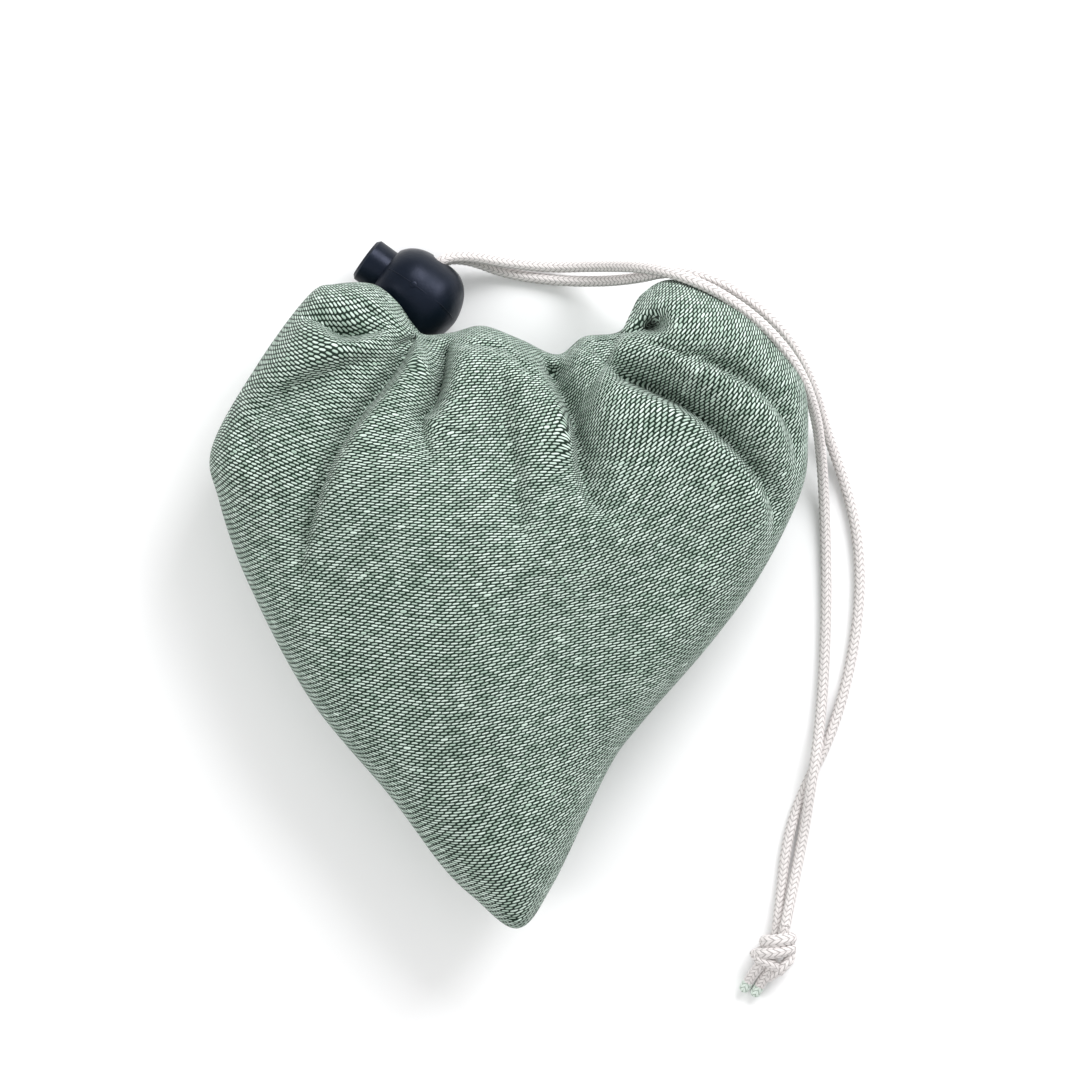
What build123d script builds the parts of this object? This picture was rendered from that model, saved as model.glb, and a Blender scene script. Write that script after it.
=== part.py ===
"""Drawstring herb compress: a heart-shaped woven pouch with a spring cord lock.

Millimetres. The pouch lies on its back on Z = 0, its tip towards -Y and its drawn mouth towards +Y.
The origin is on the resting face, below the middle of the pouch.
"""

import os
from math import cos, pi, radians, sin, tan

from build123d import *

os.makedirs("parts", exist_ok=True)

# Driving dimensions
FABRIC = 0.8  # outer cloth with its seam allowance
MUSLIN = 0.5  # inner sachet cloth
SEAM_Z = 21.0  # height of the side seam above the table
POUCH_HEIGHT = 46.0
CORD_R = 1.3
STACK = 2.8  # centre distance of the two strands in the lock's hole
BARREL_R = 10.0
BUTTON_R = 5.35
BUTTON_TRAVEL = 3.4
PLUNGER_CLEARANCE = 0.08
LOCK_ANGLE = -36.2  # direction of the button's axis, in degrees from +X
LOCK_LENGTH = 25.3
HOLE_AT = 13.6  # cord hole, from the button's outer face
CORD_Z = BARREL_R  # the lock lies on the table
CASING_R = 2.9
CASING_BORE_R = 1.9
CASING_Z = (24.6, 16.0)  # front and back hem channels
KNOT_R = 4.4

# The lock's own axes: "along" runs from the button into the barrel, "out" is the cord hole
ALONG = Vector(cos(radians(LOCK_ANGLE)), sin(radians(LOCK_ANGLE)), 0)
OUT = Vector(-ALONG.Y, ALONG.X, 0)
BUTTON_FACE = Vector(-33.05, 79.55, CORD_Z)
HOLE_CENTRE = BUTTON_FACE + ALONG * HOLE_AT
LOCK_PLANE = Plane(origin=BUTTON_FACE, x_dir=OUT, z_dir=ALONG)

# Seam outline, from the tip up the right side, over the drawn mouth and down the left side
TIP = (1.7, -73.4)
RIGHT_NOTCH = (25.5, 62.0)
LOCK_NOTCH = (-21.1, 62.7)
RIGHT_SIDE = [
    TIP,
    (10.5, -63.6),
    (20.0, -40.9),
    (32.0, -22.7),
    (52.5, 1.8),
    (61.6, 15.9),
    (67.7, 35.2),
    (63.6, 54.4),
    (50.6, 67.8),
    (36.6, 73.6),
    RIGHT_NOTCH,
]
MOUTH = [RIGHT_NOTCH, (11.0, 57.2), (-6.6, 63.0), LOCK_NOTCH]
LEFT_SIDE = [
    LOCK_NOTCH,
    (-31.1, 73.0),
    (-36.4, 73.4),
    (-47.5, 69.8),
    (-58.9, 53.4),
    (-68.0, 31.8),
    (-63.9, 14.8),
    (-54.3, -9.1),
    (-37.3, -31.8),
    (-19.1, -56.8),
    TIP,
]
SACHET_RIGHT = [(1.7, -66.0), (17.0, -40.0), (29.0, -22.0), (48.0, 2.0), (60.0, 34.0), (48.0, 46.0)]
SACHET_TOP = [(48.0, 46.0), (0.0, 42.0), (-48.0, 46.0)]
SACHET_LEFT = [(-48.0, 46.0), (-60.0, 32.0), (-50.0, -8.0), (-34.0, -31.0), (-16.5, -54.0), (1.7, -66.0)]

# Height above the table against the width of the pouch there, as a share of the seam outline
LOWER = [(0.0, 0.60), (4.0, 0.80), (11.0, 0.95), (SEAM_Z, 1.0)]
UPPER = [(SEAM_Z, 1.0), (32.0, 0.93), (40.0, 0.74), (44.6, 0.48), (POUCH_HEIGHT, 0.30)]
WAIST = Vector(0, 8, 0)  # the sections shrink towards this point

# Routes of the drawstring, point by point
HEM_LINE = [(22.0, 52.0), (10.5, 49.5), (-5.0, 52.5), (-20.0, 50.0)]
STRAND_A = [
    (-10.2, 80.4, 8.8),
    (-1.2, 78.8, 4.6),
    (9.5, 77.9, 1.7),
    (20.0, 77.9, 7.0),
    (30.0, 77.1, 20.4),
    (38.5, 74.8, 29.5),
    (48.3, 70.4, 31.5),
    (57.9, 63.4, 30.5),
    (65.4, 54.3, 28.5),
    (69.9, 44.6, 18.5),
    (72.2, 33.0, 5.0),
    (73.1, 19.3, 1.3),
    (73.5, 3.4, 1.3),
    (73.0, -13.5, 1.3),
    (72.0, -27.0, 2.2),
    (70.7, -36.0, 4.8),
    (69.5, -43.0, 4.6),
    (68.5, -51.0, 1.9),
    (67.2, -58.0, 1.5),
    (65.4, -66.5, 3.4),
    (63.6, -74.5, 5.8),
]
STRAND_B = [
    (-10.2, 79.9, 5.8),
    (-1.0, 76.6, 1.5),
    (9.5, 75.0, 1.3),
    (20.5, 74.4, 5.5),
    (29.5, 74.6, 16.0),
    (36.5, 75.9, 23.6),
    (46.8, 73.9, 25.8),
    (56.0, 68.2, 25.0),
    (63.8, 60.6, 21.5),
    (69.6, 50.6, 13.0),
    (73.0, 40.5, 4.6),
    (77.2, 29.6, 1.3),
    (80.4, 18.0, 1.3),
    (81.4, 5.0, 1.3),
    (80.2, -8.0, 1.3),
    (77.5, -21.0, 1.3),
    (73.8, -32.0, 1.3),
    (69.4, -40.5, 1.3),
    (65.9, -49.0, 1.3),
    (63.9, -57.5, 1.3),
    (63.0, -66.5, 1.3),
    (62.0, -74.5, 2.9),
]
KNOT_CENTRE = (62.0, -78.6, KNOT_R)
TAIL_A = [(61.2, -82.3, 3.9), (59.1, -86.3, 2.0), (56.3, -91.1, 1.3)]
TAIL_B = [(58.8, -80.9, 3.9), (56.7, -84.9, 2.0), (53.9, -89.7, 1.3)]


def moved_in(outline, amount):
    """The outline's points, each moved towards the inside, square to the edge there."""
    ring = [Vector(x, y) for side in outline for x, y in side[:-1]]
    moved = []
    for before, here, after in zip(ring[-1:] + ring[:-1], ring, ring[1:] + ring[:1]):
        arrive, leave = (here - before).normalized(), (after - here).normalized()
        forward = (arrive + leave).normalized()
        reach = amount / cos(radians(arrive.get_angle(leave)) / 2)
        moved.append(here + Vector(-forward.Y, forward.X) * reach)
    sides = []
    for side in outline:
        count = len(side) - 1
        sides.append(moved[: count + 1])
        moved = moved[count:] + moved[:count]
    return sides


def section(outline, height, share, inset):
    """The closed outline, shrunk to a share of its size, as a face at a height."""
    with BuildSketch(Plane.XY.offset(height)) as sketch:
        with BuildLine():
            for side in moved_in(outline, inset / share):
                Spline([WAIST + (point - WAIST) * share for point in side])
        make_face()
    return sketch.sketch


def half_lens(outline, stations, inset):
    """A crowned half of the pouch between the seam plane and its face, inset all round."""
    furthest = max(abs(height - SEAM_Z) for height, share in stations)
    squeeze = 1 - inset / furthest
    with BuildPart() as body:
        for height, share in stations:
            add(section(outline, SEAM_Z + (height - SEAM_Z) * squeeze, share, inset))
        loft()
    return body.part


def route(points, radii_note):
    """Straight runs joined by tangent arcs, each as large as its two runs allow."""
    points = [Vector(p) for p in points]
    radii = []
    for before, corner, after in zip(points, points[1:], points[2:]):
        arrive, leave = corner - before, after - corner
        turn = radians(arrive.get_angle(leave))
        radii.append(0.45 * min(arrive.length, leave.length) / tan(turn / 2))
    if radii_note:
        shown = " ".join(f"{r:.1f}" for r in radii)
        print(f"{radii_note}: radii {shown}")
    return FilletPolyline(*points, radius=radii)


def cord(points, name):
    """A round tube of cord along a route."""
    with BuildPart() as tube:
        with BuildLine() as path:
            line = route(points, name)
        with BuildSketch(Plane(origin=line @ 0, z_dir=line % 0)):
            Circle(CORD_R)
        sweep(path=path.line)
    expected = pi * CORD_R**2 * line.length
    print(f"{name}: length {line.length:.1f}, volume {tube.part.volume / expected:.4f} of section x length")
    return tube.part


def save(shape, name):
    shape.label = name
    export_step(shape, f"parts/{name}.step")


# --- pouch cloth -----------------------------------------------------------------------------
SEAM_OUTLINE = [RIGHT_SIDE, MOUTH, LEFT_SIDE]
SACHET_OUTLINE = [SACHET_RIGHT, SACHET_TOP, SACHET_LEFT]
SACHET_INSET = FABRIC + 0.3
FILLING_INSET = SACHET_INSET + MUSLIN + 0.2

with BuildPart() as front_panel:
    add(half_lens(SEAM_OUTLINE, UPPER, 0))
    add(half_lens(SEAM_OUTLINE, UPPER, FABRIC), mode=Mode.SUBTRACT)
save(front_panel.part, "front_panel")

# Room under the front hem for the lock, and for its way out along the cord. The cloth is tucked in
# round it, with one slot for the cord.
LOCK_ROOM = 0.8
ROOM_HEIGHT = 2 * BARREL_R + 0.4
WAY_OUT = 26.0  # how far the room reaches along the cord, clear of the pouch
CORD_SLOT_PLAY = 1.6
CORD_SLOT_DEPTH = 4.0


def lock_room(growth):
    """The upright space around the lock, grown sideways and upwards."""
    with BuildPart() as room:
        with BuildSketch(Plane(origin=BUTTON_FACE - Vector(0, 0, CORD_Z), x_dir=ALONG, z_dir=(0, 0, 1))):
            with BuildLine():
                Polyline(
                    (-1.0, -6.3),
                    (4.4, -6.3),
                    (4.6, -7.6),
                    (6.8, -9.8),
                    (10.0, -BARREL_R - LOCK_ROOM),
                    (20.0, -BARREL_R - LOCK_ROOM),
                    (LOCK_LENGTH + LOCK_ROOM, -6.0),
                    (LOCK_LENGTH + LOCK_ROOM, WAY_OUT),
                    (-1.0, WAY_OUT),
                    close=True,
                )
            make_face()
            offset(amount=growth)
        extrude(amount=ROOM_HEIGHT + growth)
    return room.part


with BuildPart() as inside:
    add(half_lens(SEAM_OUTLINE, LOWER, FABRIC))
    add(lock_room(FABRIC), mode=Mode.SUBTRACT)

with BuildPart() as back_panel:
    add(half_lens(SEAM_OUTLINE, LOWER, 0))
    add(lock_room(0), mode=Mode.SUBTRACT)
    add(inside.part, mode=Mode.SUBTRACT)
    with BuildSketch(Plane(origin=HOLE_CENTRE - OUT * BARREL_R, x_dir=ALONG, z_dir=-OUT)):
        SlotOverall(STACK + 2 * CORD_R + CORD_SLOT_PLAY, 2 * CORD_R + CORD_SLOT_PLAY, rotation=90)
    extrude(amount=CORD_SLOT_DEPTH, mode=Mode.SUBTRACT)
save(back_panel.part, "back_panel")


# --- what the pouch holds --------------------------------------------------------------------
with BuildPart() as sachet_front:
    add(half_lens(SACHET_OUTLINE, UPPER, SACHET_INSET))
    add(half_lens(SACHET_OUTLINE, UPPER, SACHET_INSET + MUSLIN), mode=Mode.SUBTRACT)
save(sachet_front.part, "sachet_front")

with BuildPart() as sachet_back:
    add(half_lens(SACHET_OUTLINE, LOWER, SACHET_INSET))
    add(half_lens(SACHET_OUTLINE, LOWER, SACHET_INSET + MUSLIN), mode=Mode.SUBTRACT)
save(sachet_back.part, "sachet_back")

with BuildPart() as herb_filling:
    add(half_lens(SACHET_OUTLINE, UPPER, FILLING_INSET))
    add(half_lens(SACHET_OUTLINE, LOWER, FILLING_INSET))
save(herb_filling.part, "herb_filling")


# --- hem channels and the drawstring inside them ---------------------------------------------
for channel, height in zip(("front_casing", "back_casing"), CASING_Z):
    with BuildPart() as casing:
        with BuildLine() as path:
            hem = route([(x, y, height) for x, y in HEM_LINE], "")
        with BuildSketch(Plane(origin=hem @ 0, z_dir=hem % 0)):
            Circle(CASING_R)
            Circle(CASING_BORE_R, mode=Mode.SUBTRACT)
        sweep(path=path.line)
    save(casing.part, channel)

front_z, back_z = CASING_Z
hole_top = HOLE_CENTRE + Vector(0, 0, STACK / 2)
hole_bottom = HOLE_CENTRE - Vector(0, 0, STACK / 2)
STRAND_START = 3.5  # where each strand takes over from the loop, inside the lock
STRAND_EXIT = 9.4  # where it turns away, at the lock's surface
TUCK = 13.0  # where the loop's two ends come through the slot in the cloth
NECK = 28.0  # where they part, inside the pouch
part_at = HOLE_CENTRE - OUT * NECK
NECK_RISE = (8.0, 2.0)
LEFT_TURN = [(-32.4, 43.4, 24.0), (-32.4, 43.4, 14.0)]
RIGHT_TURN = [(31.0, 54.5, height) for height in CASING_Z]
loop_points = [hole_top + OUT * STRAND_START, hole_top - OUT * TUCK]
loop_points += [part_at + Vector(0, 0, NECK_RISE[0]), LEFT_TURN[0]]
loop_points += [(x, y, front_z) for x, y in reversed(HEM_LINE)] + RIGHT_TURN
loop_points += [(x, y, back_z) for x, y in HEM_LINE]
loop_points += [LEFT_TURN[1], part_at + Vector(0, 0, NECK_RISE[1])]
loop_points += [hole_bottom - OUT * TUCK, hole_bottom + OUT * STRAND_START]
save(cord(loop_points, "drawstring_loop"), "drawstring_loop")

start_a = [hole_top + OUT * STRAND_START, hole_top + OUT * STRAND_EXIT]
start_b = [hole_bottom + OUT * STRAND_START, hole_bottom + OUT * STRAND_EXIT]
save(cord(start_a + STRAND_A, "cord_strand_a"), "cord_strand_a")
save(cord(start_b + STRAND_B, "cord_strand_b"), "cord_strand_b")
save(cord(TAIL_A, "cord_tail_a"), "cord_tail_a")
save(cord(TAIL_B, "cord_tail_b"), "cord_tail_b")

with BuildPart() as cord_knot:
    with BuildSketch(Plane(origin=KNOT_CENTRE, x_dir=(0.35, 0.94, 0), z_dir=(0, 0, 1))):
        Ellipse(KNOT_R * 1.02, KNOT_R)
        with Locations((0, -KNOT_R)):
            Rectangle(3 * KNOT_R, 2 * KNOT_R, mode=Mode.SUBTRACT)
    revolve(axis=Axis(KNOT_CENTRE, (0.35, 0.94, 0)))
save(cord_knot.part, "cord_knot")


# --- cord lock -------------------------------------------------------------------------------
BORE_R = BUTTON_R + PLUNGER_CLEARANCE
BORE_FLOOR = 21.5
PLUNGER_END = 17.5
SPRING_SEAT = 15.8
SPRING_WIRE_R = 0.25
SPRING_R = 2.9
SPRING_TURNS = 4
SPRING_PLAY = 0.05  # at each end of the spring
GRIP = CORD_R + 0.05  # the cord's side of each hole, where the spring pinches it
SLOT_ROOM = 2.5  # the cord's other side in the barrel, where it turns away
SLOT_HEIGHT = STACK + 2 * CORD_R + 1.4
BARREL_PROFILE = [
    (7.0, 6.05),
    (8.7, 8.1),
    (9.6, 10.4),
    (BARREL_R - 0.05, 14.8),
    (9.4, 20.1),
    (7.7, 22.4),
    (5.1, 24.1),
]
MOUTH_R = 6.2
MOUTH_AT = 5.5

with BuildPart() as lock_barrel:
    with BuildSketch(Plane(origin=BUTTON_FACE, x_dir=OUT, z_dir=(0, 0, 1))):
        # local x is the radius and local -y is the distance from the button's face
        with BuildLine():
            Line((BORE_R, -MOUTH_AT), (MOUTH_R, -MOUTH_AT))
            Spline([(MOUTH_R, -MOUTH_AT)] + [(r, -t) for r, t in BARREL_PROFILE] + [(0, -LOCK_LENGTH)])
            Line((0, -LOCK_LENGTH), (0, -BORE_FLOOR))
            Line((0, -BORE_FLOOR), (BORE_R, -BORE_FLOOR))
            Line((BORE_R, -BORE_FLOOR), (BORE_R, -MOUTH_AT))
        make_face()
    revolve(axis=Axis(BUTTON_FACE, ALONG))
    with BuildSketch(Plane(origin=HOLE_CENTRE, x_dir=ALONG, z_dir=OUT)):
        with Locations(((SLOT_ROOM - GRIP) / 2, 0)):
            SlotOverall(SLOT_HEIGHT, GRIP + SLOT_ROOM, rotation=90)
    extrude(amount=2 * BARREL_R, both=True, mode=Mode.SUBTRACT)
save(lock_barrel.part, "lock_barrel")

with BuildPart() as lock_button:
    with BuildSketch(LOCK_PLANE):
        Circle(BUTTON_R)
    extrude(amount=PLUNGER_END)
    chamfer(lock_button.edges().group_by(Axis(BUTTON_FACE, ALONG))[0], 0.7)
    with BuildSketch(LOCK_PLANE.offset(PLUNGER_END)):
        Circle(SPRING_R + 0.9)
    extrude(amount=SPRING_SEAT - PLUNGER_END, mode=Mode.SUBTRACT)
    with BuildSketch(Plane(origin=HOLE_CENTRE, x_dir=ALONG, z_dir=OUT)):
        with Locations((-(BUTTON_TRAVEL + 0.3) / 2, 0)):
            Rectangle(2 * GRIP + BUTTON_TRAVEL + 0.3, SLOT_HEIGHT)
    extrude(amount=2 * BARREL_R, both=True, mode=Mode.SUBTRACT)
save(lock_button.part, "lock_button")

with BuildPart() as lock_spring:
    spring_length = BORE_FLOOR - SPRING_SEAT - 2 * (SPRING_WIRE_R + SPRING_PLAY)
    spring_foot = BUTTON_FACE + ALONG * (SPRING_SEAT + SPRING_WIRE_R + SPRING_PLAY)
    with BuildLine() as coil:
        Helix(spring_length / SPRING_TURNS, spring_length, SPRING_R, center=spring_foot, direction=ALONG)
    with BuildSketch(Plane(origin=coil.line @ 0, z_dir=coil.line % 0)):
        Circle(SPRING_WIRE_R)
    sweep(path=coil.line, is_frenet=True)
save(lock_spring.part, "lock_spring")
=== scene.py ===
import math

import bpy
import numpy as np
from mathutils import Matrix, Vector


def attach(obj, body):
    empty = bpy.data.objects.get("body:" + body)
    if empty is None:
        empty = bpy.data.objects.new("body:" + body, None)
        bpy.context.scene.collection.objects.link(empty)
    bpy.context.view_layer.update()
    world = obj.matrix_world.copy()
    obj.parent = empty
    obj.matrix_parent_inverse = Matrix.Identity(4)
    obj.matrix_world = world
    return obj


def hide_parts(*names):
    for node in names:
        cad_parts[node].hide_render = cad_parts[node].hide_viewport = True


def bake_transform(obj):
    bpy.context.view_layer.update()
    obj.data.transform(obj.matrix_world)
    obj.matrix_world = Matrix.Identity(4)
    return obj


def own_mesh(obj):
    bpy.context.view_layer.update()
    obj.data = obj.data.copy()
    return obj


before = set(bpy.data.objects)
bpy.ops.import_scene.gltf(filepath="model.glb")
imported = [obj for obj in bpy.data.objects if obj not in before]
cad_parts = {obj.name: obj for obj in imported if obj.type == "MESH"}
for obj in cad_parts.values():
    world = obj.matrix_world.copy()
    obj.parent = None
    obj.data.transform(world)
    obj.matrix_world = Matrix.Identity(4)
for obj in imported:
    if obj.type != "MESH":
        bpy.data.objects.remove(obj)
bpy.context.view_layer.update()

MM = 0.001

# --------------------------------------------------------------------------------------------
# Camera, light and floor
# --------------------------------------------------------------------------------------------
SEAM_Z = 21.0
VIEW_CENTRE = (7.05, 14.8)
VIEW_WIDTH = 245.5
CAMERA_DISTANCE = 1000.0

camera_data = bpy.data.cameras.new("camera")
camera_data.sensor_width = 36.0
camera_data.lens = 36.0 * CAMERA_DISTANCE / VIEW_WIDTH
camera_data.clip_start = 0.05
camera = bpy.data.objects.new("camera", camera_data)
camera.location = Vector((*VIEW_CENTRE, SEAM_Z + CAMERA_DISTANCE)) * MM
bpy.context.scene.collection.objects.link(camera)
bpy.context.scene.camera = camera


def area_light(name, place, size, power, colour=(1, 1, 1)):
    """A rectangular light at a place in metres, turned towards the object."""
    data = bpy.data.lights.new(name, "AREA")
    data.shape = "RECTANGLE"
    data.size, data.size_y = size
    data.energy = power
    data.color = colour
    lamp = bpy.data.objects.new(name, data)
    lamp.location = place
    lamp.rotation_euler = (-Vector(place)).to_track_quat("-Z", "Y").to_euler()
    bpy.context.scene.collection.objects.link(lamp)
    return lamp


area_light("key", (0.46, 0.66, 0.62), (0.6, 0.5), 9.0, (0.98, 0.98, 1.0))
area_light("fill", (-0.7, -0.1, 0.8), (0.7, 0.7), 3.0)

world = bpy.data.worlds.new("studio")
bpy.context.scene.world = world
world.use_nodes = True
world.node_tree.nodes["Background"].inputs["Color"].default_value = (1.0, 1.0, 1.0, 1)
world.node_tree.nodes["Background"].inputs["Strength"].default_value = 0.72
bpy.context.scene.view_settings.view_transform = "Standard"


# --------------------------------------------------------------------------------------------
# Shader helpers
# --------------------------------------------------------------------------------------------
class Shader:
    """A material under construction: short calls that add and link nodes."""

    def __init__(self, name, **constants):
        self.material = bpy.data.materials.new(name)
        self.material.use_nodes = True
        self.tree = self.material.node_tree
        self.bsdf = self.tree.nodes["Principled BSDF"]
        for socket, value in constants.items():
            self.bsdf.inputs[socket.replace("_", " ")].default_value = value

    def node(self, kind, **inputs):
        made = self.tree.nodes.new(kind)
        for name, value in inputs.items():
            if name.startswith("_"):
                setattr(made, name[1:], value)
            else:
                self.put(made.inputs[name.replace("_", " ")], value)
        return made

    def put(self, socket, value):
        if isinstance(value, bpy.types.NodeSocket):
            self.tree.links.new(value, socket)
        else:
            socket.default_value = value

    def math(self, operation, a, b=0.0, c=0.0, clamp=False):
        made = self.tree.nodes.new("ShaderNodeMath")
        made.operation = operation
        made.use_clamp = clamp
        for socket, value in zip(made.inputs, (a, b, c)):
            self.put(socket, value)
        return made.outputs[0]

    def mix(self, share, a, b, blend="MIX"):
        made = self.tree.nodes.new("ShaderNodeMix")
        made.data_type = "RGBA"
        made.blend_type = blend
        self.put(made.inputs["Factor"], share)
        self.put(made.inputs["A"], a)
        self.put(made.inputs["B"], b)
        return made.outputs["Result"]

    def smooth(self, value, low, high, to_low=0.0, to_high=1.0):
        made = self.tree.nodes.new("ShaderNodeMapRange")
        made.interpolation_type = "SMOOTHSTEP"
        for socket, v in zip(made.inputs, (value, low, high, to_low, to_high)):
            self.put(socket, v)
        return made.outputs[0]

    def noise(self, vector, scale, detail=2.0, rough=0.5):
        made = self.tree.nodes.new("ShaderNodeTexNoise")
        self.put(made.inputs["Vector"], vector)
        self.put(made.inputs["Scale"], scale)
        self.put(made.inputs["Detail"], detail)
        self.put(made.inputs["Roughness"], rough)
        return made.outputs["Fac"]

    def combine(self, x, y, z=0.0):
        made = self.tree.nodes.new("ShaderNodeCombineXYZ")
        for socket, value in zip(made.inputs, (x, y, z)):
            self.put(socket, value)
        return made.outputs[0]

    def bump(self, height, strength, distance, normal=None):
        made = self.tree.nodes.new("ShaderNodeBump")
        made.inputs["Strength"].default_value = strength
        made.inputs["Distance"].default_value = distance
        self.put(made.inputs["Height"], height)
        if normal is not None:
            self.put(made.inputs["Normal"], normal)
        return made.outputs[0]


def rgb(red, green, blue):
    """An sRGB colour, 0 to 255, as the linear values that a shader takes."""
    return tuple(
        (c / 255 / 12.92 if c <= 10 else ((c / 255 + 0.055) / 1.055) ** 2.4) for c in (red, green, blue)
    ) + (1,)


def mesh_object(name, verts, faces, material, uvs=None, smooth=True):
    """A mesh in millimetres; uvs holds one (u, v) for each corner of each face."""
    data = bpy.data.meshes.new(name)
    data.from_pydata((np.asarray(verts, float) * MM).tolist(), [], faces)
    if uvs is not None:
        layer = data.uv_layers.new(name="UVMap")
        layer.data.foreach_set("uv", np.asarray(uvs, np.float32).ravel())
    data.update()
    if smooth:
        data.polygons.foreach_set("use_smooth", [True] * len(data.polygons))
    made = bpy.data.objects.new(name, data)
    bpy.context.scene.collection.objects.link(made)
    made.data.materials.append(material)
    return made


# --------------------------------------------------------------------------------------------
# Woven cloth
# --------------------------------------------------------------------------------------------
LOCK_AXIS = Vector((math.cos(math.radians(-36.2)), math.sin(math.radians(-36.2)), 0))
LOCK_OUT = Vector((-LOCK_AXIS.y, LOCK_AXIS.x, 0))
BUTTON_FACE = Vector((-33.05, 79.55, 10.0))
HOLE = BUTTON_FACE + LOCK_AXIS * 13.6
# the lock's outline: (distance from the button's face, radius)
LOCK_PROFILE = [
    (0.0, 5.4), (5.4, 5.4), (5.6, 6.2), (6.05, 7.0), (8.1, 8.7), (10.4, 9.6), (14.8, 9.95), (20.1, 9.4),
    (22.4, 7.7), (24.1, 5.1), (25.3, 0.0),
]
WEFT = 1.65  # mm from one pale float to the next along a row
ROW = 0.64  # mm from row to row


def woven_material():
    s = Shader("pouch_weave", Roughness=0.85, Sheen_Weight=0.12, Sheen_Roughness=0.5, Specular_IOR_Level=0.2)
    uv = s.tree.nodes.new("ShaderNodeUVMap").outputs[0]
    split = s.node("ShaderNodeSeparateXYZ", Vector=uv).outputs
    # the UV map is in metres of cloth; yarns wander a little
    wander = s.noise(uv, 160.0, 2.0)
    wander_b = s.noise(s.combine(split[1], split[0]), 420.0, 1.0)
    u = s.math("ADD", s.math("DIVIDE", split[0], WEFT * MM), s.math("MULTIPLY", wander, 0.55))
    v = s.math("ADD", s.math("DIVIDE", split[1], ROW * MM), s.math("MULTIPLY", wander_b, 0.5))
    row = s.math("FLOOR", v)
    stagger = s.math("MULTIPLY", s.math("MODULO", s.math("ABSOLUTE", row), 2.0), 0.5)
    shifted = s.math("ADD", u, stagger)
    column = s.math("FLOOR", shifted)
    dx = s.math("SUBTRACT", s.math("FRACT", shifted), 0.5)
    dy = s.math("SUBTRACT", s.math("FRACT", v), 0.5)
    dy = s.math("SUBTRACT", dy, s.math("MULTIPLY", dx, 0.25))
    chance = s.tree.nodes.new("ShaderNodeTexWhiteNoise")
    chance.noise_dimensions = "2D"
    s.put(chance.inputs["Vector"], s.combine(row, column))
    dash = chance.outputs["Value"]
    tint = s.node("ShaderNodeSeparateColor", Color=chance.outputs["Color"]).outputs[1]
    # a float is a rounded dash; thin and thick places in the yarn change its size
    half_length = s.math("ADD", 0.40, s.math("MULTIPLY", dash, 0.08))
    slub = s.math("GREATER_THAN", tint, 0.985)
    half_width = s.math(
        "ADD", s.math("ADD", 0.255, s.math("MULTIPLY", tint, 0.08)), s.math("MULTIPLY", slub, 0.14)
    )
    along = s.math("POWER", s.math("ABSOLUTE", s.math("DIVIDE", dx, half_length)), 3.2)
    across = s.math("POWER", s.math("ABSOLUTE", s.math("DIVIDE", dy, half_width)), 2.0)
    reach = s.math("ADD", along, across)
    cover = s.smooth(reach, 1.25, 0.45)
    fibre = s.noise(s.combine(s.math("MULTIPLY", u, 1.2), s.math("MULTIPLY", v, 9.0)), 1.0, 2.0)
    broad = s.noise(uv, 45.0, 3.0)
    pale = s.mix(s.smooth(dash, 0.0, 1.0), rgb(176, 198, 183), rgb(222, 239, 228))
    pale = s.mix(s.math("MULTIPLY", fibre, 0.35), pale, rgb(150, 176, 160))
    dark = s.mix(broad, rgb(12, 27, 19), rgb(30, 52, 39))
    colour = s.mix(cover, dark, pale)
    s.put(s.bsdf.inputs["Base Color"], colour)
    dome = s.math("SUBTRACT", 1.0, s.math("MINIMUM", reach, 1.0))
    s.put(s.bsdf.inputs["Normal"], s.bump(dome, 0.55, 0.00016))
    return s.material


weave = woven_material()

# --------------------------------------------------------------------------------------------
# Pouch shape, in millimetres. One outline, a rounded edge, a domed front and a settled back.
# --------------------------------------------------------------------------------------------
RIGHT_FLANK = [
    (2.0, -73.5), (10.0, -63.5), (22.5, -37.5), (30.0, -27.0), (46.0, -8.5), (57.5, 7.5), (66.5, 26.0)
]
RIGHT_LOBE = [
    (68.0, 38.0), (67.0, 50.5), (60.5, 60.5), (52.0, 68.5), (38.0, 74.0), (30.0, 70.5), (25.5, 62.5)
]
HEM = [(17.0, 61.0), (11.0, 57.0), (2.5, 60.5), (-6.0, 63.5), (-13.0, 62.0), (-19.0, 61.5)]
LEFT_LOBE = [
    (-21.5, 63.5), (-25.5, 69.0), (-31.0, 73.0), (-39.5, 73.0), (-45.5, 70.5), (-57.0, 55.0), (-67.5, 36.0)
]
LEFT_FLANK = [(-66.0, 24.0), (-59.5, 5.5), (-45.5, -21.0), (-27.0, -43.5), (-15.5, -59.0), (-8.0, -66.5)]
OUTLINE = RIGHT_FLANK + RIGHT_LOBE + HEM + LEFT_LOBE + LEFT_FLANK
MIDDLE = np.array((0.0, 8.0))
EDGE_R = 10.5
CROWN = 14.0
SEGMENTS = 900
FRONT_RINGS = 165
BACK_RINGS = 48


def catmull(points, closed=False, per=24):
    """A smooth line through the points."""
    p = np.asarray(points, float)
    ends = (p[-1:], p[:1], p[1:2]) if closed else (2 * p[:1] - p[1:2], 2 * p[-1:] - p[-2:-1], p[:0])
    q = np.vstack((ends[0], p, ends[1], ends[2]))
    t = np.linspace(0, 1, per, endpoint=False)[:, None]
    parts = []
    for a, b, c, d in zip(q, q[1:], q[2:], q[3:]):
        parts.append(
            0.5 * (2 * b + (c - a) * t + (2 * a - 5 * b + 4 * c - d) * t**2 + (3 * b - a - 3 * c + d) * t**3)
        )
    line = np.vstack(parts)
    return line if closed else np.vstack((line, p[-1:]))


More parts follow.
